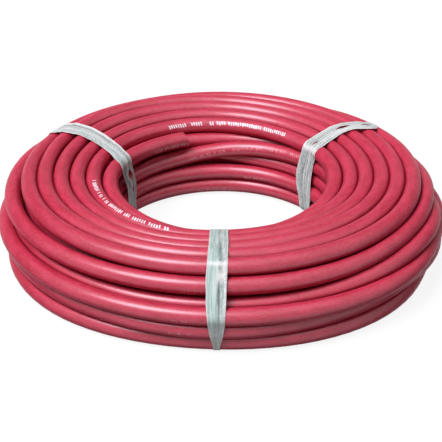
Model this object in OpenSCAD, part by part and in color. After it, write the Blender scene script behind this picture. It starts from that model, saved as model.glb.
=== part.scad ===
// A tied coil of rubber gas hose, lying flat with its axis upright.
// The turns lie in rows, one row on another, each row a flat spiral.
// The origin is on the coil's axis, at the surface that it lies on.

/* [Hose] */
// Outside diameter of the hose
hose_od = 15; // [10:0.5:20]
// Diameter of the hose's bore
hose_bore = 8; // [4:0.5:9]
// Length of each straight piece at a cut end
end_length = 16; // [10:1:18]
// Azimuth at which the upper straight end begins, counter-clockwise from +X
upper_end_at = 118; // [110:1:125]
// Azimuth at which the lower straight end begins, hidden at the back
lower_end_at = 66; // [55:1:75]

/* [Coil] */
// Clear diameter inside the top row's inner turn
eye_d = 190; // [160:1:260]
// Rows of turns, one on another
rows = 5; // [3:1:6]
// Turns in the top row
top_turns = 6; // [4:1:8]
// How far each row settles between the turns of the row below
row_sink = 0.1; // [0:0.1:0.4]
// How far the top row's inner turn lies below its outer one
top_fall = 5; // [0:0.5:6]

/* [Straps] */
// Width of a strap
strap_w = 17; // [10:1:25]
// Thickness of a strap, several layers of film
strap_t = 1; // [0.6:0.1:2]
// Azimuth of the front strap
front_at = 269; // [255:1:285]
// Azimuth of the left strap
left_at = 149; // [140:1:160]
// Azimuth of the right strap
right_at = 35; // [20:1:40]

/* [Hidden] */
$fn = 48;

hose_r = hose_od / 2;
row_rise = hose_od - row_sink;
// The upper turn's circle, and how far a straight end drifts out of it at a tangent
first_r = eye_d / 2 + hose_r;
end_drift = norm([first_r, end_length]) - first_r;
// Clear space between a straight end and the turn beside it
end_room = 0.3;
// Azimuth at which the top row's inner turn has left its place for the next one
upper_turn_stop = 404;
// Azimuth at which the bottom row's outer turn has reached its place
lower_turn_start = 122;
// Room left at the eye, where a flat band spans a curved wall
band_room = 0.4;
// Steps round each corner of a band
corner_steps = 6;

// Rows counted from the top: turns more than the top row has, how far the inner
// turn is set back from the eye, and the turn spacing, the last two in diameters
more_turns = [0, 0, 1, 1, 0, 0];
set_back = [0, 0.37, 0.47, 0.2, 0.34, 0.3];
spacing = [0.96, 1.01, 0.99, 0.99, 1.09, 1];
// Share of the top row's fall that each row has
fall_share = [1, 0.9, 0.3, 0, 0, 0];

function turns(row) = top_turns + more_turns[row];
function row_z(row) = strap_t + hose_r + (rows - 1 - row) * row_rise;
function inner_r(row) = first_r + end_drift + end_room + set_back[row] * hose_od;
// Share of the way from a row's outer turn to its inner one
function inward(row, i) = 1 - i / (turns(row) - 1);
function fall(row, i) = top_fall * fall_share[row] * pow(inward(row, i), 2);
function turn_at(row, i) = [
    inner_r(row) + i * spacing[row] * hose_od,
    row_z(row) - fall(row, i)
];

last_row = rows - 1;
upper_turn = [first_r, turn_at(0, 0).y];
lower_turn = turn_at(last_row, turns(last_row) - 1);

// The turns that those two lie against
upper_beside = [turn_at(0, 1), turn_at(1, 0)];
lower_beside = [turn_at(last_row, turns(last_row) - 2), turn_at(last_row - 1, turns(last_row - 1) - 1)];

// Turns round the section's edge that run the full circle, counter-clockwise
bottom_row = [for (i = [0 : turns(last_row) - 2]) turn_at(last_row, i)];
outer_wall = [for (row = [last_row - 1 : -1 : 1]) turn_at(row, turns(row) - 1)];
top_row = [for (i = [turns(0) - 1 : -1 : 1]) turn_at(0, i)];
inner_wall = [for (row = [1 : last_row - 1]) turn_at(row, 0)];
full_turns = concat(bottom_row, outer_wall, top_row, inner_wall);
// The same with the two turns that stop at the cut ends
edge_turns = concat(bottom_row, [lower_turn], outer_wall, top_row, [upper_turn], inner_wall);

// Keeps the points at which a counter-clockwise outline turns left
function left_turns(p) = [
    for (i = [0 : len(p) - 1])
        let (a = p[(i + len(p) - 1) % len(p)], b = p[i], c = p[(i + 1) % len(p)])
        if (cross(b - a, c - b) > 0.01) b
];
function convex(p) = let (q = left_turns(p)) len(q) == len(p) ? p : convex(q);
function heading(a, b) = atan2(b.y - a.y, b.x - a.x) - 90;
// Outline of a band drawn tight at distance r round a convex outline's points
function wrap(p, r) = [
    for (i = [0 : len(p) - 1])
        let (
            from = heading(p[(i + len(p) - 1) % len(p)], p[i]),
            to = heading(p[i], p[(i + 1) % len(p)]),
            sweep = (to - from + 720) % 360,
            reach = r / cos(sweep / corner_steps / 2)
        )
        for (k = [0 : corner_steps])
            p[i] + (k == 0 || k == corner_steps ? r : reach)
                * [cos(from + sweep * k / corner_steps), sin(from + sweep * k / corner_steps)]
];

// Part of a circle made by one turn, filled in towards the two turns beside it
module turn_ring(place, beside, start, stop) {
    rotate([0, 0, start])
        rotate_extrude(angle = stop - start, $fn = 180) {
            polygon(concat([place], beside));
            translate(place)
                circle(r = hose_r);
        }
}

// The outer shape of the coil: a ridge for each turn that shows, filled in between
module hose_coil() {
    color("crimson") {
        rotate_extrude($fn = 180) {
            polygon(full_turns);
            for (place = full_turns)
                translate(place)
                    circle(r = hose_r);
        }
        turn_ring(upper_turn, upper_beside, upper_end_at, upper_turn_stop);
        turn_ring(lower_turn, lower_beside, lower_turn_start, lower_end_at + 360);
    }
}

// A straight piece of open hose along -Y from the end of a turn at azimuth zero
module cut_end(place) {
    color("crimson")
        translate([place.x, 0, place.y])
            rotate([90, 0, 0])
                difference() {
                    cylinder(r = hose_r, h = end_length);
                    translate([0, 0, -1])
                        cylinder(d = hose_bore, h = end_length + 2);
                }
}

module hose_end() {
    rotate([0, 0, upper_end_at])
        cut_end(upper_turn);
}

module lower_end() {
    rotate([0, 0, lower_end_at])
        mirror([0, 1, 0])
            cut_end(lower_turn);
}

// A flat band of film round the whole section
module strap(azimuth) {
    hull_turns = convex(edge_turns);
    color("honeydew", 0.7)
        rotate([0, 0, azimuth])
            rotate([90, 0, 0])
                translate([0, 0, -strap_w / 2])
                    linear_extrude(strap_w)
                        difference() {
                            band_outline(hull_turns, hose_r + strap_t);
                            band_outline(hull_turns, hose_r);
                        }
}

module band_outline(hull_turns, r) {
    polygon(wrap(hull_turns, r));
    translate([-band_room, 0])
        polygon(wrap(hull_turns, r));
}

module strap_front() strap(front_at);
module strap_left() strap(left_at);
module strap_right() strap(right_at);

hose_coil();
hose_end();
lower_end();
strap_front();
strap_left();
strap_right();
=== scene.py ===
"""A tied coil of rubber gas hose: one long hose wound in rows, held by three film straps."""

import math

import bpy
import numpy as np
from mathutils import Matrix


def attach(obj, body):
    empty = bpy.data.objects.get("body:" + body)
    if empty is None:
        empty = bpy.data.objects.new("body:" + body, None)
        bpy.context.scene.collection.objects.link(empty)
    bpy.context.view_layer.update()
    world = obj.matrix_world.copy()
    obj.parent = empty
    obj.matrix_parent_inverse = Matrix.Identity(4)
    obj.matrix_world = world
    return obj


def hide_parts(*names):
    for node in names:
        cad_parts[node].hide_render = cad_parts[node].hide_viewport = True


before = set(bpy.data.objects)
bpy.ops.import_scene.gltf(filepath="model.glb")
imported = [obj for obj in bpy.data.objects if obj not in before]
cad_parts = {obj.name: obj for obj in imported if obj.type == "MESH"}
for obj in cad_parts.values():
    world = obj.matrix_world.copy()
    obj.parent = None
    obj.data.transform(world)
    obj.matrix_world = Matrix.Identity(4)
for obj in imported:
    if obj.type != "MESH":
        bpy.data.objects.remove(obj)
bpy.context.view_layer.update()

# Sizes in metres; lengths given in hose diameters are multiplied by HOSE_D
HOSE_D = 0.015            # outside diameter of the hose
BORE_D = 0.008            # diameter of its bore
STRAP_T = 0.001           # thickness of the straps that the coil lies on


# ---------------------------------------------------------------- camera

def add_camera():
    """The camera stands in front of the coil, a little over a metre off, looking down at it."""
    data = bpy.data.cameras.new("camera")
    data.lens = 99.8
    data.sensor_width = 36.0
    camera = bpy.data.objects.new("camera", data)
    camera.location = (-0.001, -1.0251, 0.5291)
    camera.rotation_euler = (math.radians(63.53), 0.0, 0.0)
    bpy.context.scene.collection.objects.link(camera)
    bpy.context.scene.camera = camera


add_camera()


# ---------------------------------------------------------------- the hose's route

STATIONS = 90             # stations in a turn
START_AZ = 109.0          # azimuth of the upper cut end
STOP_AZ = 69.0            # azimuth of the lower cut end
FLOOR = 0.5 + STRAP_T / HOSE_D    # lowest height of the hose's centre, in hose diameters

# How the turns settle, with lengths in hose diameters
CONTACT = 0.94            # centre distance under which two turns push each other apart
PUSH = 0.45               # how much of an overlap each of two turns gives way in a round
STIFFNESS = 0.35          # how far a station eases towards its neighbours' mean in a round
PULL, LATE_PULL = 0.04, 0.012       # how far it drifts back in an early and in a late round
EARLY = 0.6               # the share of the rounds that are early ones
DRIFT_OUT, DRIFT_UP = 0.07, 0.06    # random drift outwards and upwards
TOP_TURNS, TOP_SHARE = 6.3, 0.4     # the first turns, and the share of that drift they have
NOWHERE = 1e3             # a radius far outside the coil
ITSELF = 1e-6             # a gap no larger than this is from a station to itself

# Rows from the top down: height, turns, then the radius of the row's first and last
# turn at the coil's sides, front and back, all in hose diameters
ROWS = [
    (4.52, 6, (6.86, 11.50), (6.94, 11.86), (7.70, 12.76)),
    (3.50, 6, (12.55, 7.25), (12.32, 7.85), (12.75, 7.25)),
    (2.48, 7, (7.15, 13.04), (7.40, 13.46), (7.20, 13.20)),
    (1.50, 7, (12.95, 6.90), (13.28, 7.10), (13.00, 6.90)),
    (FLOOR, 6, (6.95, 12.62), (7.25, 12.74), (6.95, 12.70)),
]

# Azimuth at which the hose passes on to the next place, for the upper places by their
# number and then for all others
STEP_AZ = {
    1: 72, 2: 64, 3: 58, 4: 62, 5: 58, 6: 42,
    7: 100, 8: 120, 9: 130, 10: 136, 11: 138, 12: 97, 13: 95,
}
USUAL_STEP_AZ = 75.0
STEP_HALF = 30.0          # half of the angle that a step takes
# From this place on, each lap is shorter than a full turn by this many degrees
SHORT_FROM, SHORT_BY = 18, 27.7

# How far turns lie below their row's height, in hose diameters: the top row's inner
# turn all round, then its row's further fall at the front, and more at the inner turn
TOP_FALL, FRONT_FALL, FRONT_DROP = 0.44, 0.42, 0.18
# How far the middle of the top row stands up at the back
BACK_CROWN = 0.05
# The second row's inner turn all round, and its row's further fall at the front
SECOND_FALL, SECOND_FRONT_FALL = 0.30, 0.26
# The outer turns of the third and fourth rows
THIRD_FALL, FOURTH_FALL = 0.20, 0.16

# Turns that slipped out of line when the coil was tied: turn, azimuth, half width in
# degrees, then the slip outwards and upwards
SLIPS = [
    (0, 122, 62, -0.66, -0.06),
    (0, 262, 50, 0.0, -0.10),
    (1, 116, 48, 0.18, 0.04),
    (1, 300, 50, -0.34, 0.0),
    (2, 110, 50, 0.22, 0.06),
    (2, 300, 50, -0.48, 0.0),
    (3, 118, 50, 0.66, 0.08),
    (3, 300, 50, -0.42, 0.04),
    (4, 122, 54, 0.90, 0.06),
    (4, 136, 40, 0.10, -0.04),
    (4, 270, 60, 0.0, 0.09),
    (4, 350, 60, -0.14, 0.0),
    (5, 134, 40, 0.20, -0.66),
    (5, 140, 36, 0.44, 0.0),
    (5, 255, 80, 0.04, -0.10),
    (5, 365, 50, -0.14, 0.0),
    (6, 150, 42, 0.58, 0.34),
    (6, 250, 110, 0.0, 0.16),
    (6, 335, 60, -0.06, 0.10),
    (17, 195, 42, 0.45, 0.46),
    (17, 338, 62, 0.94, 0.46),
    (18, 192, 42, -0.22, 0.04),
    (18, 300, 44, 0.22, -0.12),
    (18, 332, 34, -0.22, 0.0),
    (18, 347, 40, -0.20, -0.18),
    (19, 165, 62, -0.62, 0.0),
    (19, 220, 50, -0.40, 0.04),
    (19, 330, 40, -0.30, 0.0),
    (30, 226, 46, 0.54, 0.0),
    (30, 256, 34, -0.12, 0.0),
    (30, 304, 46, 0.56, 0.0),
]


def smooth(t):
    """A step from 0 to 1 with level ends: three t squared minus two t cubed."""
    t = np.clip(t, 0.0, 1.0)
    return t * t * (3.0 - 2.0 * t)


def wander(count, size, rng, knot=18):
    """A slow random drift: a cubic B-spline through seeded knots, one every few stations.

    At a share t of the way between two knots, the four nearest are weighed by (1 - t)
    cubed, 3 t cubed - 6 t squared + 4, -3 t cubed + 3 t squared + 3 t + 1 and t cubed,
    all over six.
    """
    knots = rng.normal(size=count // knot + 6)
    at = np.linspace(0.0, len(knots) - 4.001, count)
    low = at.astype(int)
    t = at - low
    weights = [(1 - t) ** 3, 3 * t ** 3 - 6 * t ** 2 + 4, -3 * t ** 3 + 3 * t ** 2 + 3 * t + 1, t ** 3]
    return size * sum(weight * knots[low + k] for k, weight in enumerate(weights)) / 6


def places(az):
    """Radius and height of every turn's place at each azimuth.

    The radius is the side value, eased towards the front and back values by a power of
    the azimuth's sine. The top row is domed: it falls by the square of the share of the
    way in, and more at the front. The second row falls by the cube of that share. The
    third and fourth rows fall by the fifth power of the share of the way out.
    """
    a = np.radians(az)
    front = np.clip(-np.sin(a), 0, 1) ** 1.5
    back = np.clip(np.sin(a), 0, 1) ** 1.2
    radius, height = [], []
    for row, (level, turns, side, at_front, at_back) in enumerate(ROWS):
        for i in range(turns):
            q = i / (turns - 1)
            spans = (side, at_front, at_back)
            r, front_r, back_r = (first + (last - first) * q for first, last in spans)
            radius.append(r + (front_r - r) * front + (back_r - r) * back)
            z = np.full(len(az), level)
            if row == 0:
                z -= TOP_FALL * (1 - q) ** 2 - BACK_CROWN * back * (1 - abs(2 * q - 1))
                z -= front * (FRONT_FALL * (1 - q) * (1 - 0.25 * q) + FRONT_DROP * (1 - q) ** 3)
            elif row == 1:
                z -= SECOND_FALL * q ** 3 + SECOND_FRONT_FALL * front * q
            elif row == 2:
                z -= THIRD_FALL * q ** 5
            elif row == 3:
                z -= FOURTH_FALL * (1 - q) ** 5
            height.append(z)
    return np.array(radius), np.array(height)


def planned_route():
    """The route before it settles: each turn keeps its place, and steps to the next one.

    The place number rises by one smooth step per turn, and the radius and height are
    mixed from the two places that it lies between. The slips are raised cosines.
    """
    total = sum(row[1] for row in ROWS)
    stop = 360.0 * (total - 1) + STOP_AZ
    az = START_AZ + np.arange(int((stop - START_AZ) / 360.0 * STATIONS) + 1) * 360.0 / STATIONS
    radius, height = places(az)
    place = np.zeros(len(az))
    for k in range(1, total):
        at = 360.0 * k + STEP_AZ.get(k, USUAL_STEP_AZ) - SHORT_BY * max(0, k - SHORT_FROM)
        place += smooth((az - at + STEP_HALF) / (2 * STEP_HALF))
    low = np.clip(place.astype(int), 0, total - 1)
    high = np.clip(low + 1, 0, total - 1)
    t = place - low
    i = np.arange(len(az))
    r = radius[low, i] * (1 - t) + radius[high, i] * t
    z = height[low, i] * (1 - t) + height[high, i] * t
    for turn, at, half, outwards, upwards in SLIPS:
        w = 0.5 + 0.5 * np.cos(np.pi * np.clip((az - 360 * turn - at) / half, -1, 1))
        r += outwards * w
        z += upwards * w
    return az, r, z


def by_turn(values, filler):
    """The values of a route as a table, one row per turn and one column per azimuth.

    Past the route's end a cell holds the filler times its turn's number, so that a
    large filler keeps it away from every turn.
    """
    turns = -(-len(values) // STATIONS)
    table = filler * (1 + np.arange(turns))[:, None] * np.ones((1, STATIONS))
    table.ravel()[:len(values)] = values
    return table


def settled_route(rounds=380, seed=3):
    """The route once its turns have pushed each other apart.

    In each round, two turns nearer than the contact distance move apart along the line
    between them, every station eases towards the mean of its two neighbours along the
    hose, as a stiff hose does, and drifts back towards its planned place.
    """
    az, r0, z0 = planned_route()
    count = len(az)
    rng = np.random.default_rng(seed)
    loose = np.where(az < 360 * TOP_TURNS, TOP_SHARE, 1.0)
    r0 = r0 + wander(count, DRIFT_OUT, rng) * loose
    z0 = z0 + wander(count, DRIFT_UP, rng) * loose
    r, z = r0.copy(), z0.copy()
    for step in range(rounds):
        across = by_turn(r, NOWHERE)
        up = by_turn(z, 0.0)
        dr = across[:, None] - across[None]
        dz = up[:, None] - up[None]
        gap = np.hypot(dr, dz)
        push = np.where((gap < CONTACT) & (gap > ITSELF), (CONTACT - gap) / np.maximum(gap, ITSELF), 0)
        r = r + PUSH * (push * dr).sum(1).ravel()[:count]
        z = z + PUSH * (push * dz).sum(1).ravel()[:count]
        for v in (r, z):
            mean = v.copy()
            mean[1:-1] = (v[:-2] + v[2:]) / 2
            v += STIFFNESS * (mean - v)
        pull = PULL if step < rounds * EARLY else LATE_PULL
        r += pull * (r0 - r)
        z += pull * (z0 - z)
        z = np.maximum(z, FLOOR)
    return az, r, z


AZ, ROUTE_R, ROUTE_Z = settled_route()


# ---------------------------------------------------------------- the hose's surface

SIDES = 24                # sides of the hose's section
BORE_EVERY = 3            # the bore has one ring for so many outer rings
COVER_IN = 0.80           # the cover's inner face, as a share of the hose's radius
YARN_IN = 0.70            # the yarn layer's inner face, likewise
PRESSED = 1.02            # centre distance, in hose diameters, under which turns press flat
SWELL = 0.004             # size of the slow swell of the hose's radius, as a share of it
NO_LIMIT = 9.0            # a share of the radius that stands for no limit

# The rings of a cut face from the rim inwards: share of the hose's radius, how far past
# the last station, and layer (0 cover, 1 yarn, 2 lining)
LIP = 0.0003              # how far the cut face stands past the last station
CUT_RINGS = [
    (0.985, LIP, 0), (COVER_IN, LIP, 0), (COVER_IN - 0.01, LIP, 1),
    (YARN_IN, LIP * 0.6, 1), (YARN_IN - 0.01, LIP * 0.8, 2),
]
# The upper end was cut aslant: each point lies back along the hose by this share of its
# height above the section's lowest point
SLANT = 0.30

# The runs of pale marks: first and last turn, counted from azimuth zero, the line's place
# round the section at both in degrees (0 outwards, 90 up), and how much of the run is left
MARK_RUNS = [
    (0.303, 0.369, 205, 205, 0.45),
    (1.147, 1.325, 134, 154, 1.0),
    (1.525, 1.692, 92, 70, 1.0),
    (6.722, 6.738, -15, -8, 0.18),
    (7.140, 7.240, 12, 4, 0.8),
    (12.114, 12.303, 138, 181, 0.34),
    (18.160, 18.255, 8, 0, 0.8),
    (18.719, 18.735, -20, -6, 0.26),
    (19.300, 19.400, 6, 0, 0.7),
    (19.716, 19.731, -20, -4, 0.24),
    (25.169, 25.214, 188, 202, 0.36),
    (26.214, 26.292, 206, 202, 0.40),
    (30.200, 30.300, 10, 0, 0.7),
]


def unit(v):
    """Each vector divided by its own length."""
    return v / np.linalg.norm(v, axis=-1, keepdims=True)


def pressed_section():
    """Share of the hose's radius at each station and side, and how close a turn lies there.

    The section is round, but no point of it lies past the plane halfway to a turn that
    presses on it: half the centre distance, over the cosine of the angle between the
    point's direction and that turn's. A slow swell of under one per cent is added. The
    closeness eases from 0 to 1 as that angle closes and the gap to the turn does.
    """
    count = len(AZ)
    across, up = by_turn(ROUTE_R, NOWHERE), by_turn(ROUTE_Z, 0.0)
    dr = (across[None] - across[:, None]).transpose(0, 2, 1).reshape(-1, across.shape[0])[:count]
    dz = (up[None] - up[:, None]).transpose(0, 2, 1).reshape(-1, across.shape[0])[:count]
    gap = np.hypot(dr, dz)
    near = (gap < PRESSED) & (gap > ITSELF)
    angle = np.arange(SIDES) / SIDES * 2 * np.pi
    towards = np.arctan2(dz, dr)
    facing = np.cos(angle[None, :, None] - towards[:, None, :])
    # only a turn within 60 degrees of a point's direction can press on it
    pressing = near[:, None, :] & (facing > 0.5)
    limit = np.where(pressing, gap[:, None, :] / np.maximum(facing, 0.5), NO_LIMIT)
    swell = 1 + wander(count, SWELL, np.random.default_rng(11), knot=9)[:, None]
    # the closeness to a touching turn, from which the cover's material paints shade into the grooves
    beside = smooth((facing - 0.78) / 0.22) * smooth((1.30 - gap) / 0.30)[:, None, :]
    beside = np.where((gap > ITSELF)[:, None, :], beside, 0.0).max(2)
    return np.minimum(np.minimum(1.0, limit.min(2)) * swell, 1.01), beside


def hose_rings():
    """Centres of the hose's stations in metres, and the directions ahead, outwards and upwards."""
    a = np.radians(AZ)
    centre = np.stack([ROUTE_R * np.cos(a), ROUTE_R * np.sin(a), ROUTE_Z], -1) * HOSE_D
    ahead = unit(np.gradient(centre, axis=0))
    out = unit(np.cross(ahead, [0.0, 0.0, 1.0]))
    return centre, ahead, out, np.cross(out, ahead)


def grid_mesh(name, points, faces):
    """A mesh object from a table of points and a table of four-cornered faces.

    The faces are turned outwards if the volume that they enclose comes out negative.
    """
    mesh = bpy.data.meshes.new(name)
    mesh.from_pydata(points.reshape(-1, 3).tolist(), [], faces.tolist())
    corners = points.reshape(-1, 3)[faces]
    volume = np.einsum("ij,ij->i", corners[:, 0], np.cross(corners[:, 1], corners[:, 2])).sum()
    volume += np.einsum("ij,ij->i", corners[:, 0], np.cross(corners[:, 2], corners[:, 3])).sum()
    if volume < 0:
        mesh.flip_normals()
    mesh.polygons.foreach_set("use_smooth", np.ones(len(mesh.polygons), bool))
    mesh.update()
    piece = bpy.data.objects.new(name, mesh)
    bpy.context.scene.collection.objects.link(piece)
    return piece


def closed_grid(rows, columns):
    """Faces of a grid whose last row joins the first, and last column the first."""
    i = np.arange(rows)[:, None]
    j = np.arange(columns)[None]
    i2, j2 = (i + 1) % rows, (j + 1) % columns
    faces = np.stack([i * columns + j, i2 * columns + j, i2 * columns + j2, i * columns + j2], -1)
    return faces.reshape(-1, 4)


def store(piece, name, kind, values):
    """A named value at each point of a piece's mesh, a number or a vector."""
    attribute = piece.data.attributes.new(name, kind, "POINT")
    field = "vector" if kind == "FLOAT_VECTOR" else "value"
    attribute.data.foreach_set(field, np.ascontiguousarray(values, dtype=np.float32).ravel())


def hose_wall(share):
    """The hose's wall as rings: the outside, the lower cut face, the bore, the upper cut face.

    Every ring has the same number of sides. A point is the ring's centre, plus the
    section's radius times the cosine of its angle outwards and the sine upwards. The
    rings come with their layers and stations, and with the centres of all stations.
    """
    centre, ahead, out, upward = hose_rings()
    count = len(centre)
    last = count - 1
    radius = HOSE_D / 2
    angle = np.arange(SIDES) / SIDES * 2 * np.pi
    outwards, upwards = np.cos(angle)[None, :, None], np.sin(angle)[None, :, None]
    round_dir = outwards * out[:, None] + upwards * upward[:, None]
    outside = centre[:, None] + round_dir * (share * radius)[..., None]
    # the bore's stations, from the lower end to the upper one
    bore = np.unique(np.append(np.arange(0, count, BORE_EVERY), last))[::-1]
    inside = centre[bore][:, None] + round_dir[bore] * BORE_D / 2
    size, past, cut_layer = np.array(CUT_RINGS).T[..., None, None]
    lower_face, upper_face = (
        centre[k] + way * past * ahead[k] + round_dir[k] * radius * size
        for k, way in ((last, 1.0), (0, -1.0))
    )
    for rings in (outside[0], upper_face, inside[-1]):
        height = (rings - centre[0]) @ upward[0]
        rings += (SLANT * (radius + height))[..., None] * ahead[0]
    points = np.concatenate([outside, lower_face, inside, upper_face[::-1]])
    cut_layer = cut_layer.ravel()
    layer = np.concatenate([np.zeros(count), cut_layer, np.full(len(bore), 2), cut_layer[::-1]])
    station = np.concatenate([
        np.arange(count), np.full(len(cut_layer), last), bore, np.zeros(len(cut_layer)),
    ]).astype(int)
    return points, layer, station, centre


def keep_marks(piece, along, station):
    """Keeps each point's place from the line of marks, and how far it is inside a run of them.

    The line turns evenly round the section from each end of a run to the next. The
    place is the length along the hose, then the radius times the cosine and the sine
    of the angle from the line.
    """
    turn = AZ / 360.0
    runs = np.array(MARK_RUNS)
    line = np.interp(turn, runs[:, 0:2].ravel(), runs[:, 2:4].ravel())
    angle = np.arange(SIDES) / SIDES * 2 * np.pi
    from_line = angle[None] - np.radians(line)[:, None]
    place = np.stack([
        np.broadcast_to(along[:, None], from_line.shape),
        HOSE_D / 2 * np.cos(from_line),
        HOSE_D / 2 * np.sin(from_line),
    ], -1)
    store(piece, "along_hose", "FLOAT_VECTOR", place[station])
    # how far inside the nearest run of marks each station lies, and that run's strength
    run_start, run_stop = np.interp(runs[:, 0], turn, along), np.interp(runs[:, 1], turn, along)
    within = np.minimum(along[:, None] - run_start, run_stop - along[:, None])
    left = runs[within.argmax(1), 4]
    marked = np.stack([within.max(1), left, np.zeros(len(along))], -1)[station]
    store(piece, "marked", "FLOAT_VECTOR", np.repeat(marked, SIDES, axis=0))


def make_hose():
    """The hose as one closed wall, with the centres of its stations and its length."""
    share, beside = pressed_section()
    points, layer, station, centre = hose_wall(share)
    piece = grid_mesh("hose", points, closed_grid(len(points), SIDES))
    # the faces between two rings belong to the deeper of the two rings' layers
    layer_of_faces = np.maximum(layer, np.roll(layer, -1)).repeat(SIDES)
    piece.data.polygons.foreach_set("material_index", layer_of_faces.astype(np.int32))
    piece.data.set_sharp_from_angle(angle=math.radians(45))
    along = np.append(0.0, np.cumsum(np.linalg.norm(np.diff(centre, axis=0), axis=1)))
    keep_marks(piece, along, station)
    # the closeness, which the cover's material paints as shade in the grooves
    store(piece, "beside", "FLOAT", beside[station])
    return piece, centre, float(along[-1])


hose, hose_path, hose_length = make_hose()
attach(hose, "root")
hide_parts("hose_coil", "hose_end", "lower_end")


# ---------------------------------------------------------------- the straps

FILM_T = 0.0003           # thickness of one gathered strand of film
FILM_GAP = 0.00015        # room between the film and the hose
CREASES = 9               # creases that run along a strand; every third one is a dark one, painted shade
CREASE_RISE = 0.00030     # how far a light crease stands up where the film is crumpled
EDGE_RISE = 0.00018       # how far a strand's turned-over edges stand up
LOOK_WITHIN = 22.0        # degrees to each side of a strap in which the hose can meet it
MM = 0.001                # the straps' plans and partings are in millimetres


def section_at(azimuth):
    """Centres of the turns cut at an azimuth, as radius and height in metres."""
    column = (azimuth - START_AZ) % 360.0 / 360.0 * STATIONS
    low = int(column)
    t = column - low
    rows = np.arange(low, len(AZ) - 1, STATIONS)
    r = ROUTE_R[rows] * (1 - t) + ROUTE_R[rows + 1] * t
    z = ROUTE_Z[rows] * (1 - t) + ROUTE_Z[rows + 1] * t
    return np.stack([r, z], -1) * HOSE_D


def convex(points):
    """The outermost points in counter-clockwise order, by the two-chain method."""
    ordered = sorted(map(tuple, points))

    def chain(run):
        """The points of a run at which its outline turns left."""
        kept = []
        for p in run:
            while len(kept) > 1:
                (ax, ay), (bx, by) = kept[-2], kept[-1]
                if (bx - ax) * (p[1] - ay) - (by - ay) * (p[0] - ax) > 0:
                    break
                kept.pop()
            kept.append(p)
        return kept[:-1]

    return np.array(chain(ordered) + chain(ordered[::-1]))


def tight_loop(azimuth, count, away, arc_points=10):
    """Points and outward normals of a band drawn tight round the section at an azimuth.

    Round each outermost turn it is an arc at that distance from the turn's centre, and
    between turns it is straight. It is then cut into equal lengths, from the eye's
    middle height, down, out, up and back in over the top. Each point's share of the way
    round and the whole length come with them.
    """
    hull = convex(section_at(azimuth))
    side = np.roll(hull, -1, 0) - hull
    heading = np.arctan2(side[:, 1], side[:, 0]) - np.pi / 2
    start = np.roll(heading, 1)
    sweep = (heading - start) % (2 * np.pi)
    angle = start[:, None] + sweep[:, None] * np.linspace(0, 1, arc_points)
    normals = np.stack([np.cos(angle), np.sin(angle)], -1)
    points = (hull[:, None] + away * normals).reshape(-1, 2)
    normals = normals.reshape(-1, 2)
    # the first point is the one that faces the eye most squarely
    first = int(np.argmax(-normals[:, 0] - np.abs(normals[:, 1]) * 0.5))
    points, normals = np.roll(points, -first, 0), np.roll(normals, -first, 0)
    points, normals = np.vstack([points, points[:1]]), np.vstack([normals, normals[:1]])
    run = np.append(0.0, np.cumsum(np.linalg.norm(np.diff(points, axis=0), axis=1)))
    at = np.arange(count) / count * run[-1]
    points = np.stack([np.interp(at, run, points[:, k]) for k in (0, 1)], -1)
    normals = np.stack([np.interp(at, run, normals[:, k]) for k in (0, 1)], -1)
    return points, unit(normals), at / run[-1], run[-1]


def round_the_section(q, plan, column, window=17):
    """A column of a strap's plan at each share q of the way round, in straight runs.

    The corners between the runs are eased by a moving mean with a raised cosine's
    weights, over a window of points.
    """
    shares, values = zip(*[(row[0], row[column]) for row in plan])
    raw = np.interp(q, shares, values, period=1.0)
    kernel = np.hanning(window) / np.hanning(window).sum()
    half = window // 2
    return np.convolve(np.concatenate([raw[-half:], raw, raw[:half]]), kernel, "valid")


def bump(q, at, half, size):
    """A raised cosine of a given half width and height, centred on a share of the way round."""
    return size * (0.5 + 0.5 * np.cos(np.pi * np.clip(((q - at + 0.5) % 1 - 0.5) / half, -1, 1)))


def strand_offsets(q, width, share, partings, t):
    """How far each point of a strand lies from the strap's middle line, in metres.

    A parting is a share of the way round, a half width and a size in millimetres. It
    moves the edge that faces the other strand: the high edge of the strand that starts
    at -1, and the low edge of the other.
    """
    low, high = share
    low_edge, high_edge = width * low, width * high
    for at, half, size in partings:
        if low == -1:
            high_edge = high_edge - bump(q, at, half, size * MM)
        else:
            low_edge = low_edge + bump(q, at, half, size * MM)
    return low_edge[:, None] + (high_edge - low_edge)[:, None] * t


def film_creases(rng, drift, t):
    """How light the creases along a strand make each of its points, and how much shade the dark ones
    paint on them.
    """
    light, dark = 0.0, 0.0
    for i in range(CREASES):
        at = rng.uniform(0.08, 0.92) + drift(0.05, 7)
        strength = np.clip(0.45 + drift(0.5, 9), 0, 1)
        bell = np.exp(-((t - at[:, None]) / rng.uniform(0.02, 0.06)) ** 2) * strength[:, None]
        # the dark bells are painted shade in the creases
        light, dark = (light + bell, dark) if i % 3 else (light, dark + bell)
    return light, dark


def film_sheets(line, normal, azimuth, offset, height):
    """The outer and the inner sheet of a strand, as one ring of points at each station.

    A point lies on the tight loop plus its height along the loop's normal, and its
    azimuth is the strap's plus its offset over its radius.
    """
    sheets = []
    for thick in (FILM_T, 0.0):
        r = line[:, None, 0] + normal[:, None, 0] * (height + thick - FILM_T)
        z = line[:, None, 1] + normal[:, None, 1] * (height + thick - FILM_T)
        turn = np.radians(azimuth)[:, None] + offset / r
        points = np.stack([r * np.cos(turn), r * np.sin(turn), np.maximum(z, 0.0)], -1)
        sheets.append(clear_of_hose(points, azimuth.mean(), thick))
    return np.concatenate([sheets[0], sheets[1][:, ::-1]], 1)


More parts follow.
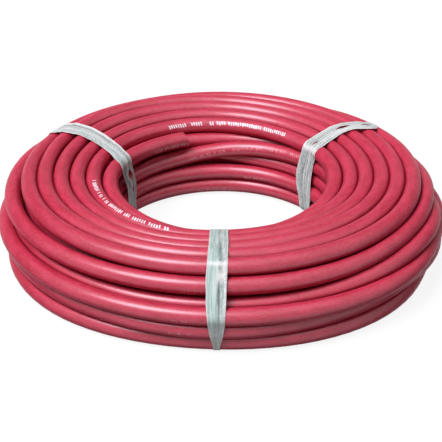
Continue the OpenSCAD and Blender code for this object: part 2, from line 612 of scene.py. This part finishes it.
def film_strand(name, loop_azimuth, plan, share, look, seed, partings=(), rows=420, columns=30):
    """One gathered strand of film round the section, as a closed band.

    plan gives the whole strap's azimuth, half width and stand-off by share of the way
    round, and share is the part of that width that this strand covers. A parting moves
    the strand's inner edge away by a raised cosine. Across the strand run creases, each
    a bell curve whose place and height drift along the strand; every third one is a dark
    one, painted shade. look(q, across) gives how crumpled the film is, how white and how
    much painted shade it has.
    """
    rng = np.random.default_rng(seed)
    line, normal, q, length = tight_loop(loop_azimuth, rows, HOSE_D / 2 + FILM_GAP + FILM_T)

    def drift(size, waves):
        """A sum of sines round the section with seeded phases, the shorter ones smaller."""
        phases = rng.random(waves)
        return sum(
            size / wave ** 0.8 * np.sin(2 * np.pi * (wave * q + phases[wave - 1]))
            for wave in range(1, waves + 1)
        )

    azimuth, width, stand_off = (round_the_section(q, plan, column) for column in (1, 2, 3))
    width = width * MM * (1 + drift(0.012, 20))
    # t is the share of the way across the strand
    t = np.linspace(0, 1, columns)[None]
    offset = strand_offsets(q, width, share, partings, t)
    crumpled, white, shaded = look(q[:, None], offset / width[:, None])
    light, dark = film_creases(rng, drift, t)
    # both edges are turned over, which makes them thicker and whiter
    edge = np.exp(-(t / 0.06) ** 2) + np.exp(-((1 - t) / 0.06) ** 2)
    height = stand_off[:, None] * MM + CREASE_RISE * light * (0.3 + crumpled) + EDGE_RISE * edge
    points = film_sheets(line, normal, azimuth, offset, height)
    piece = grid_mesh(name, points, closed_grid(rows, 2 * columns))
    along = np.broadcast_to((q * length)[:, None], offset.shape)
    place = np.stack([along, offset, 0 * along + seed], -1)
    store(piece, "along_film", "FLOAT_VECTOR", np.concatenate([place, place[:, ::-1]], 1))
    # whiter at light creases, turned-over edges and the look's white parts; the front strap's tip among
    # these is painted light
    whitened = np.clip(light * (0.25 + 0.6 * crumpled) + 0.85 * edge + white, 0, 1)
    # painted shade: the dark creases, with the look's painted shade
    painted_shade = np.clip(dark * (0.3 + 0.7 * crumpled) + shaded, 0, 1)
    seen = np.stack([whitened, painted_shade, crumpled + 0 * along], -1)
    store(piece, "film_look", "FLOAT_VECTOR", np.concatenate([seen, seen[:, ::-1]], 1))
    return piece


def clear_of_hose(points, azimuth, extra, batch=4000):
    """Moves each film point that lies in the hose straight out of it, past its surface.

    Only the stations within a few degrees of the strap are looked at. It is done twice,
    because a point moved out of one turn can land in the next.
    """
    near = np.flatnonzero(np.abs((AZ - azimuth + 180) % 360 - 180) < LOOK_WITHIN)
    near = near[(near > 0) & (near < len(AZ) - 1)]
    centre, axis = hose_path[near], unit(hose_path[near + 1] - hose_path[near - 1])
    flat = points.reshape(-1, 3).copy()
    reach = HOSE_D / 2 + FILM_GAP + extra
    for again in range(2):
        for start in range(0, len(flat), batch):
            part = flat[start:start + batch]
            k = np.linalg.norm(part[:, None] - centre[None], axis=2).argmin(1)
            away = part - centre[k]
            away -= axis[k] * (away * axis[k]).sum(1, keepdims=True)
            d = np.linalg.norm(away, axis=1, keepdims=True)
            flat[start:start + batch] = np.where(d < reach, part + away / d * (reach - d), part)
    return flat.reshape(points.shape)


# A strap's plan is a list of share of the way round, azimuth, half width and stand-off,
# the last two in millimetres. The way round starts in the eye and goes down, out under
# the coil, up its outer side and back in over the top.

def front_strap():
    """One wide strand, smooth on its left, crumpled on its right, with a leaf's tip below."""
    plan = [
        (0.00, 268.7, 7.7, 0), (0.15, 268.7, 7.2, 0), (0.30, 268.7, 6.0, 0), (0.44, 268.7, 2.6, 0),
        (0.47, 268.7, 2.7, 0), (0.505, 268.7, 4.9, 0), (0.545, 268.7, 6.6, 0), (0.60, 268.6, 7.8, 0),
        (0.665, 268.6, 8.3, 0), (0.70, 268.8, 8.1, 0.1), (0.80, 268.9, 7.9, 0), (0.93, 268.7, 7.7, 0),
    ]

    def look(q, across):
        """Crumpled on its right, with a white fold across, a patch below it, and painted light on the
        tip where it turns down into shade.
        """
        right = smooth((across + 0.02) / 0.22)
        fold = bump(q, 0.703, 0.011, 1.0) * (0.75 + 0.25 * across)
        patch = bump(q, 0.672, 0.026, 0.9) * right * smooth((0.95 - across) / 0.2)
        # painted light: the tip is lightened where it turns down and would lie in shade
        tip = bump(q, 0.50, 0.09, 0.5)
        return right * (0.55 + bump(q, 0.67, 0.07, 0.45)), fold + patch + tip, 0 * right

    return [film_strand("strap_front_film", 268.7, plan, (-1, 1), look, 5)]


def left_strap():
    """Two strands that part inside the eye, where one crosses the gap."""
    plan = [
        (0.00, 162.3, 11.2, 0.3), (0.033, 158.4, 10.0, 0.2), (0.067, 154.8, 8.4, 0),
        (0.10, 153.8, 7.5, 0), (0.14, 153.5, 6.8, 0), (0.30, 150.0, 8.0, 0),
        (0.50, 146.0, 9.0, 0), (0.62, 145.0, 11.5, 0), (0.667, 146.4, 14.4, 0.2),
        (0.70, 148.4, 14.5, 0.4), (0.75, 149.0, 12.7, 0.4), (0.80, 148.4, 10.8, 0.4),
        (0.85, 149.9, 10.0, 0.3), (0.90, 152.3, 9.4, 0.3), (0.933, 155.0, 9.8, 0.4),
        (0.967, 160.2, 10.8, 0.5),
    ]
    partings = [(0.033, 0.028, 4.6), (0.088, 0.020, 2.0), (0.885, 0.070, 0.8)]

    def look(q, across):
        """Crumpled all over. On top, a white edge beside painted shade in creases. In the eye, painted
        shade along a twist and over the whole eye.
        """
        top = bump(q, 0.78, 0.26, 1.0)
        white = 0.85 * smooth((-across - 0.60) / 0.20) + 0.18
        # painted shade: a dark crease beside the white edge on top, a second one, a dark twist in the
        # eye, and the eye darkened as a whole
        crease = np.exp(-((across + 0.46) / 0.12) ** 2)
        second = bump(q, 0.70, 0.08, 0.9) * np.exp(-((across - 0.15) / 0.09) ** 2)
        wave = 0.30 + 0.35 * np.sin(45 * q)
        twist = bump(q, 0.05, 0.11, 0.9) * np.exp(-((across - wave) / 0.16) ** 2)
        eye = bump(q, 0.05, 0.12, 0.34)
        return 0.85 + 0 * across, top * white, top * crease + second + twist + eye

    return [
        film_strand("strap_left_film", 152.0, plan, (-1, -0.25), look, 21, partings),
        film_strand("strap_left_fold", 152.0, plan, (-0.35, 1), look, 22, partings),
    ]


def right_strap():
    """Two strands with slits between them on top, and a white fold at the corner."""
    plan = [
        (0.00, 32.7, 10.2, 0), (0.02, 32.8, 9.0, 0), (0.05, 32.8, 7.8, 0),
        (0.10, 32.6, 7.6, 0), (0.30, 33.0, 7.6, 0), (0.50, 37.0, 5.0, 0),
        (0.58, 37.5, 4.5, 0), (0.60, 36.5, 6.0, 0), (0.617, 34.8, 9.6, 0),
        (0.64, 34.1, 11.6, 0.4), (0.667, 35.1, 11.0, 1.0), (0.70, 36.9, 9.4, 1.4),
        (0.735, 37.9, 9.6, 0.8), (0.77, 37.2, 10.0, 0.3), (0.80, 36.4, 10.4, 0.2),
        (0.835, 34.7, 10.9, 0.1), (0.867, 34.5, 10.5, 0), (0.90, 35.3, 10.4, 0.2),
        (0.95, 35.6, 11.2, 0.2), (0.983, 34.2, 11.0, 0),
    ]
    partings = [(0.712, 0.040, 2.8), (0.640, 0.028, 2.6), (0.835, 0.022, 1.8)]

    def look(q, across):
        """Crumpled all over, with painted shade in a crease on top, and white where it turns into the
        eye.
        """
        # painted shade: a dark line along a crease on top
        crease = bump(q, 0.76, 0.14, 0.9) * np.exp(-((across - 0.45) / 0.09) ** 2)
        return 0.80 + 0 * across, bump(q, 0.862, 0.014, 0.9) + bump(q, 0.73, 0.17, 0.36), crease

    return [
        film_strand("strap_right_film", 35.5, plan, (-1, 0.14), look, 31, partings),
        film_strand("strap_right_fold", 35.5, plan, (0.05, 1), look, 32, partings),
    ]


straps = {"strap_front": front_strap(), "strap_left": left_strap(), "strap_right": right_strap()}
for node, strands in straps.items():
    for strand in strands:
        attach(strand, "root")
        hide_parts(node)


# ---------------------------------------------------------------- materials

# Colours, as red, green, blue and opacity
CRIMSON, ROSE = (0.480, 0.029, 0.059, 1), (0.570, 0.040, 0.083, 1)
PATCH_RED = (0.61, 0.049, 0.093, 1)
STREAK_PINK, STREAK_DARK = (0.70, 0.070, 0.130, 1), (0.300, 0.003, 0.010, 1)
SCUFF_PINK = (0.78, 0.24, 0.30, 1)
# painted shade for the grooves between touching turns
GROOVE_PAINTED_SHADE = (0.085, 0.001, 0.002, 1)
INK_EDGE, INK_WHITE = (0.90, 0.52, 0.54, 1), (0.90, 0.82, 0.84, 1)
YARN_PALE, YARN_GAP = (0.62, 0.55, 0.46, 1), (0.16, 0.08, 0.07, 1)
LINING_BLACK, LINING_GREY = (0.010, 0.009, 0.010, 1), (0.032, 0.028, 0.029, 1)
FILM_GREEN, FILM_MILKY = (0.270, 0.460, 0.400, 1), (0.520, 0.680, 0.620, 1)
FOLD_GREY, FOLD_PALE = (0.198, 0.240, 0.230, 1), (0.730, 0.768, 0.735, 1)
# painted highlight for the film's glints, and painted shade for its pits and dark creases
PAINTED_GLINT_WHITE, PIT_PAINTED_SHADE = (0.90, 0.91, 0.91, 1), (0.190, 0.180, 0.200, 1)
CREASE_PAINTED_SHADE, CREASE_WHITE = (0.085, 0.100, 0.100, 1), (0.89, 0.90, 0.86, 1)

# The marks along the hose, in metres where they are lengths
MARK_STEP = 0.0025        # length of the cell that one stroke stands in
MARK_LEAN = 0.25          # how far a stroke leans along the hose, over its height
MARK_SHIFT = 0.0018       # room within which a stroke is shifted up or down
MARK_EMPTY = 0.18         # share of the cells with no stroke


def new_group(name, inputs, outputs):
    """An empty node group with named inputs (name, kind, value) and outputs (name, kind)."""
    group = bpy.data.node_groups.new(name, "ShaderNodeTree")
    for label, kind, value in inputs:
        socket = group.interface.new_socket(label, in_out="INPUT", socket_type=kind)
        if value is not None:
            socket.default_value = value
    for label, kind in outputs:
        group.interface.new_socket(label, in_out="OUTPUT", socket_type=kind)
    return group, group.nodes.new("NodeGroupInput"), group.nodes.new("NodeGroupOutput")


class Wiring:
    """Short forms for placing nodes in a tree and joining their sockets."""

    def __init__(self, tree):
        self.tree = tree

    def node(self, kind, **settings):
        """A new node with its settings."""
        made = self.tree.nodes.new(kind)
        for key, value in settings.items():
            setattr(made, key, value)
        return made

    def join(self, source, target):
        """Links a socket, or sets a plain value, on a target socket."""
        if isinstance(source, bpy.types.NodeSocket):
            self.tree.links.new(source, target)
        else:
            target.default_value = source

    def math(self, operation, a, b=0.0):
        """One step of arithmetic."""
        made = self.node("ShaderNodeMath", operation=operation)
        for i, value in enumerate((a, b)):
            self.join(value, made.inputs[i])
        return made.outputs[0]

    def product(self, first, *others):
        """The values multiplied one after another."""
        for other in others:
            first = self.math("MULTIPLY", first, other)
        return first

    def ramp_between(self, value, low, high, to_low=0.0, to_high=1.0):
        """Eases a value between two limits."""
        made = self.node("ShaderNodeMapRange", interpolation_type="SMOOTHSTEP")
        for i, v in enumerate((value, low, high, to_low, to_high)):
            self.join(v, made.inputs[i])
        return made.outputs[0]

    def mix(self, share, a, b):
        """Two colours mixed by a share."""
        made = self.node("ShaderNodeMix", data_type="RGBA")
        self.join(share, made.inputs[0])
        self.join(a, made.inputs[6])
        self.join(b, made.inputs[7])
        return made.outputs[2]

    def noise(self, vector, scale, detail=3.0, rough=0.55, distortion=0.0):
        """Noise of a given scale at a vector."""
        made = self.node("ShaderNodeTexNoise")
        self.join(vector, made.inputs["Vector"])
        self.join(scale, made.inputs["Scale"])
        made.inputs["Detail"].default_value = detail
        made.inputs["Roughness"].default_value = rough
        made.inputs["Distortion"].default_value = distortion
        return made.outputs["Fac"]

    def stretched(self, vector, scale):
        """A vector scaled by its own factor along each axis."""
        made = self.node("ShaderNodeMapping")
        self.join(vector, made.inputs["Vector"])
        made.inputs["Scale"].default_value = scale
        return made.outputs[0]

    def fibrous(self, place, per_metre, detail, rough, distortion=0.0):
        """Noise with its own number of waves to the metre along each axis of a place."""
        return self.noise(self.stretched(place, per_metre), 1.0, detail, rough, distortion)

    def bump(self, height, strength, distance):
        """A normal tilted by a height."""
        made = self.node("ShaderNodeBump")
        made.inputs["Strength"].default_value = strength
        made.inputs["Distance"].default_value = distance
        self.join(height, made.inputs["Height"])
        return made.outputs[0]


def new_material(name):
    """A material with a Principled shader, and its wiring."""
    material = bpy.data.materials.new(name)
    material.use_nodes = True
    wiring = Wiring(material.node_tree)
    return material, wiring, material.node_tree.nodes["Principled BSDF"]


def grain_group():
    """Streaks that run along a piece and mottling over it, both as values round a half."""
    group, given, result = new_group(
        "lengthwise_grain",
        [
            ("Place", "NodeSocketVector", None),
            ("Streaks", "NodeSocketFloat", 1.0),
            ("Mottle", "NodeSocketFloat", 1.0),
        ],
        [("Fine", "NodeSocketFloat"), ("Broad", "NodeSocketFloat")],
    )
    w = Wiring(group)
    place, streaks, mottle = given.outputs["Place"], given.outputs["Streaks"], given.outputs["Mottle"]
    fine = w.noise(w.stretched(place, (230.0, 1000.0, 1000.0)), streaks, detail=4.0, rough=0.65)
    broad = w.noise(w.stretched(place, (42.0, 150.0, 150.0)), mottle, detail=4.0, rough=0.6)
    w.join(fine, result.inputs["Fine"])
    w.join(broad, result.inputs["Broad"])
    return group


GRAIN = grain_group()


def use_grain(wiring, place, streaks=1.0, mottle=1.0):
    """Places the grain group and returns its fine and broad outputs."""
    made = wiring.node("ShaderNodeGroup", node_tree=GRAIN)
    wiring.join(place, made.inputs["Place"])
    made.inputs["Streaks"].default_value = streaks
    made.inputs["Mottle"].default_value = mottle
    return made.outputs["Fine"], made.outputs["Broad"]


def attribute(wiring, name):
    """The attribute node that reads a piece's named value."""
    return wiring.node("ShaderNodeAttribute", attribute_name=name)


def mottled_red(w, fine, broad, coords):
    """The cover's red: two shades mottled, paler patches, and light and dark streaks."""
    patch = w.noise(coords, 9.0, rough=0.6)
    red = w.mix(w.ramp_between(broad, 0.40, 0.60), CRIMSON, ROSE)
    red = w.mix(w.ramp_between(patch, 0.40, 0.70, 0.0, 0.22), red, PATCH_RED)
    red = w.mix(w.ramp_between(fine, 0.50, 0.64, 0.0, 0.34), red, STREAK_PINK)
    return w.mix(w.ramp_between(fine, 0.49, 0.36, 0.0, 0.30), red, STREAK_DARK)


def scuff_mask(w, place, coords):
    """Where the cover is rubbed: lengthwise flecks, gathered in a few places."""
    flecks = w.fibrous(place, (90.0, 420.0, 420.0), detail=5.0, rough=0.7)
    rubbed = w.noise(coords, 16.0, detail=2.0)
    return w.product(w.ramp_between(flecks, 0.60, 0.72), w.ramp_between(rubbed, 0.46, 0.60))


def cover_rubber():
    """Satin crimson rubber: grain, mottling, scuffs, painted shade in the grooves between turns and a
    line of marks.
    """
    material, w, shader = new_material("cover_rubber")
    place = attribute(w, "along_hose").outputs["Vector"]
    coords = w.node("ShaderNodeTexCoord").outputs["Object"]
    groove = attribute(w, "beside").outputs["Fac"]
    fine, broad = use_grain(w, place)
    scuff = scuff_mask(w, place, coords)
    mark = mark_mask(w, place)
    red = mottled_red(w, fine, broad, coords)
    red = w.mix(w.product(scuff, 0.34), red, SCUFF_PINK)
    # painted shade: the cover is darkened towards a near-black red where a turn lies close beside
    # another
    red = w.mix(w.product(groove, 0.84), red, GROOVE_PAINTED_SHADE)
    ink = w.mix(w.ramp_between(mark, 0.50, 0.95), INK_EDGE, INK_WHITE)
    w.join(w.mix(mark, red, ink), shader.inputs["Base Color"])
    rough = w.ramp_between(fine, 0.38, 0.62, 0.32, 0.44)
    dull = w.product(w.math("MAXIMUM", scuff, groove), 0.15)
    w.join(w.math("ADD", rough, dull), shader.inputs["Roughness"])
    shader.inputs["Specular IOR Level"].default_value = 0.07
    shader.inputs["Specular Tint"].default_value = (0.60, 0.50, 1.0, 1)
    # the moulded skin's gloss, dulled where it is seen edge-on or lies in a groove
    facing = w.node("ShaderNodeLayerWeight").outputs["Facing"]
    open_part = w.math("SUBTRACT", 1.0, w.product(groove, 0.85))
    gloss = w.product(w.ramp_between(facing, 0.16, 0.54, 1.0, 0.0), open_part)
    w.join(gloss, shader.inputs["Coat Weight"])
    shader.inputs["Coat Roughness"].default_value = 0.33
    shader.inputs["Coat IOR"].default_value = 1.66
    height = w.math("ADD", w.product(fine, 0.5), w.product(broad, 0.7))
    height = w.math("ADD", height, w.product(mark, 0.15))
    w.join(w.bump(height, strength=0.45, distance=0.0007), shader.inputs["Normal"])
    return material


def mark_mask(w, place):
    """A broken row of short leaning strokes along the hose, worn by noise.

    The length is cut into equal cells. A random value for each cell leaves it empty, or
    sets how thick its stroke is and how far it is shifted up or down within the row. A
    fainter run of marks is also smaller and more worn.
    """
    split = w.node("ShaderNodeSeparateXYZ")
    w.join(place, split.inputs[0])
    along, towards_line, side = split.outputs
    run = w.node("ShaderNodeSeparateXYZ")
    w.join(attribute(w, "marked").outputs["Vector"], run.inputs[0])
    within, left = run.outputs[0], run.outputs[1]
    cell = w.product(w.math("ADD", along, w.product(side, MARK_LEAN)), 1 / MARK_STEP)
    chance = w.node("ShaderNodeTexWhiteNoise", noise_dimensions="1D")
    w.join(w.math("FLOOR", cell), chance.inputs["W"])
    value = chance.outputs["Value"]
    # the stroke across its cell, then up and down
    from_middle = w.math("ABSOLUTE", w.math("SUBTRACT", w.math("FRACT", cell), 0.5))
    thinner = w.product(w.math("FRACT", w.product(value, 7.0)), 0.16)
    stroke = w.ramp_between(w.math("ADD", from_middle, thinner), 0.32, 0.44, 1.0, 0.0)
    shift = w.product(w.math("SUBTRACT", value, 0.5), MARK_SHIFT)
    height = w.math("DIVIDE", side, w.math("ADD", w.product(left, 0.45), 0.55))
    shifted = w.math("ABSOLUTE", w.math("ADD", height, shift))
    tall = w.ramp_between(shifted, 0.0017, 0.0023, 1.0, 0.0)
    row = w.ramp_between(w.math("ABSOLUTE", height), 0.0019, 0.0023, 1.0, 0.0)
    filled = w.math("GREATER_THAN", value, MARK_EMPTY)
    # only on the line's side of the hose, and only inside a run
    on_side = w.math("GREATER_THAN", towards_line, 0.0)
    in_run = w.math("GREATER_THAN", within, 0.0)
    mask = w.product(filled, stroke, w.product(tall, row), on_side, in_run)
    wear = w.fibrous(place, (600.0, 900.0, 900.0), detail=4.0, rough=0.7)
    kept = w.ramp_between(w.math("ADD", wear, w.product(left, 0.22)), 0.50, 0.62)
    return w.product(mask, w.product(kept, w.math("POWER", left, 0.6)))


def yarn_layer():
    """The cut ends of the yarn between cover and lining: pale dots in a ring."""
    material, w, shader = new_material("yarn_layer")
    coords = w.node("ShaderNodeTexCoord").outputs["Object"]
    cells = w.node("ShaderNodeTexVoronoi")
    w.join(coords, cells.inputs["Vector"])
    cells.inputs["Scale"].default_value = 1300.0
    between = w.ramp_between(cells.outputs["Distance"], 0.2, 0.6)
    w.join(w.mix(between, YARN_PALE, YARN_GAP), shader.inputs["Base Color"])
    shader.inputs["Roughness"].default_value = 0.85
    w.join(w.bump(cells.outputs["Distance"], strength=0.6, distance=0.0004), shader.inputs["Normal"])
    return material


def lining_rubber():
    """The black lining of the bore, with faint grain."""
    material, w, shader = new_material("lining_rubber")
    place = attribute(w, "along_hose").outputs["Vector"]
    fine, broad = use_grain(w, place, streaks=0.8, mottle=1.4)
    w.join(w.mix(broad, LINING_BLACK, LINING_GREY), shader.inputs["Base Color"])
    w.join(w.ramp_between(fine, 0.3, 0.7, 0.48, 0.66), shader.inputs["Roughness"])
    w.join(w.bump(fine, strength=0.3, distance=0.0004), shader.inputs["Normal"])
    return material


def strap_film():
    """Milky green-white film: a smooth sheet where it lies flat, grey and white where it is creased,
    with painted glints and painted shade in pits and dark creases.
    """
    material, w, shader = new_material("strap_film")
    place = attribute(w, "along_film").outputs["Vector"]
    split = w.node("ShaderNodeSeparateXYZ")
    w.join(attribute(w, "film_look").outputs["Vector"], split.inputs[0])
    white, dark, crumpled = split.outputs
    streak = w.fibrous(place, (26.0, 420.0, 1.0), detail=5.0, rough=0.62, distortion=0.4)
    crease = w.fibrous(place, (60.0, 700.0, 1.0), detail=4.0, rough=0.6, distortion=0.7)
    crumple = w.fibrous(place, (420.0, 620.0, 1.0), detail=4.0, rough=0.65, distortion=1.4)
    film = w.mix(w.ramp_between(streak, 0.34, 0.64), FILM_GREEN, FILM_MILKY)
    wrinkled = w.mix(w.ramp_between(crease, 0.38, 0.62), FOLD_GREY, FOLD_PALE)
    film = w.mix(w.product(crumpled, 0.74), film, wrinkled)
    # painted highlight: white glints on the crumpled film's high spots
    painted_glint = w.product(w.ramp_between(crumple, 0.54, 0.64), w.math("ADD", crumpled, 0.12))
    film = w.mix(w.product(painted_glint, 0.75), film, PAINTED_GLINT_WHITE)
    # painted shade: the crumple's low places are greyed
    painted_pit_shade = w.product(w.ramp_between(crumple, 0.44, 0.34), crumpled)
    film = w.mix(w.product(painted_pit_shade, 0.55), film, PIT_PAINTED_SHADE)
    # painted shade in the dark creases, in the left strap's eye and along its twist
    film = w.mix(w.product(dark, 0.88), film, CREASE_PAINTED_SHADE)
    whiter = w.product(white, w.ramp_between(crumple, 0.30, 0.56, 0.55, 1.0))
    film = w.mix(whiter, film, CREASE_WHITE)
    w.join(film, shader.inputs["Base Color"])
    w.join(w.ramp_between(streak, 0.3, 0.7, 0.84, 0.98), shader.inputs["Alpha"])
    w.join(w.ramp_between(crumple, 0.3, 0.7, 0.24, 0.42), shader.inputs["Roughness"])
    height = w.math("ADD", w.product(streak, 0.6), w.product(crease, 0.6))
    height = w.math("ADD", height, w.product(crumple, 0.35))
    w.join(w.bump(height, strength=0.55, distance=0.0010), shader.inputs["Normal"])
    return material


for finish in (cover_rubber(), yarn_layer(), lining_rubber()):
    hose.data.materials.append(finish)
film_finish = strap_film()
for strands in straps.values():
    for strand in strands:
        strand.data.materials.append(film_finish)


# ---------------------------------------------------------------- floor and light

FLOOR_HALF = 6.0          # half of the floor's width, in metres
# The floor's colour for the light that it throws back, and as it is seen
FLOOR_GREY, FLOOR_SEEN = (0.20, 0.20, 0.20, 1), (0.14, 0.14, 0.14, 1)
FLOOR_GLOW = 0.88         # added to the floor as it is seen, which brings it to white
WORLD_LIGHT = 0.12        # how much light the surroundings give


def shows_background(w):
    """One for the rays that show the background, straight, mirrored or through film, and else zero."""
    seen = w.node("ShaderNodeLightPath")
    through = w.math("MAXIMUM", seen.outputs["Is Glossy Ray"], seen.outputs["Is Transmission Ray"])
    return w.math("MAXIMUM", seen.outputs["Is Camera Ray"], through)


def add_floor():
    """A wide pale floor. The camera sees it white, with the coil's shadow kept faintly."""
    mesh = bpy.data.meshes.new("floor")
    h = FLOOR_HALF
    mesh.from_pydata([(-h, -h, 0), (h, -h, 0), (h, h, 0), (-h, h, 0)], [], [(0, 1, 2, 3)])
    floor = bpy.data.objects.new("floor", mesh)
    bpy.context.scene.collection.objects.link(floor)
    material = bpy.data.materials.new("pale_floor")
    material.use_nodes = True
    w = Wiring(material.node_tree)
    material.node_tree.nodes.clear()
    shown = shows_background(w)
    diffuse = w.node("ShaderNodeBsdfDiffuse")
    w.join(w.mix(shown, FLOOR_GREY, FLOOR_SEEN), diffuse.inputs["Color"])
    white = w.node("ShaderNodeEmission")
    w.join(w.product(shown, FLOOR_GLOW), white.inputs["Strength"])
    both = w.node("ShaderNodeAddShader")
    w.join(diffuse.outputs[0], both.inputs[0])
    w.join(white.outputs[0], both.inputs[1])
    output = w.node("ShaderNodeOutputMaterial")
    w.join(both.outputs[0], output.inputs["Surface"])
    mesh.materials.append(material)


def add_lamp(name, elevation, azimuth, spread, strength, colour):
    """A wide soft lamp far off, at an elevation and azimuth in degrees."""
    data = bpy.data.lights.new(name, "SUN")
    data.angle = math.radians(spread)
    data.energy = strength
    data.color = colour
    lamp = bpy.data.objects.new(name, data)
    lamp.rotation_euler = (math.radians(90 - elevation), 0.0, math.radians(azimuth + 90))
    bpy.context.scene.collection.objects.link(lamp)


def add_world():
    """Even faint light all round. The camera sees it white."""
    world = bpy.data.worlds.new("studio")
    world.use_nodes = True
    w = Wiring(world.node_tree)
    world.node_tree.nodes.clear()
    back = w.node("ShaderNodeBackground")
    w.join((1.0, 1.0, 1.0, 1.0), back.inputs["Color"])
    w.join(w.ramp_between(shows_background(w), 0.0, 1.0, WORLD_LIGHT, 1.0), back.inputs["Strength"])
    output = w.node("ShaderNodeOutputWorld")
    w.join(back.outputs[0], output.inputs["Surface"])
    bpy.context.scene.world = world


add_floor()
add_world()
add_lamp("key", elevation=57.0, azimuth=220.0, spread=34.0, strength=3.45, colour=(0.96, 0.92, 1.0))
add_lamp("fill", elevation=62.0, azimuth=290.0, spread=60.0, strength=0.45, colour=(0.98, 0.96, 1.0))
bpy.context.scene.view_settings.view_transform = "Standard"
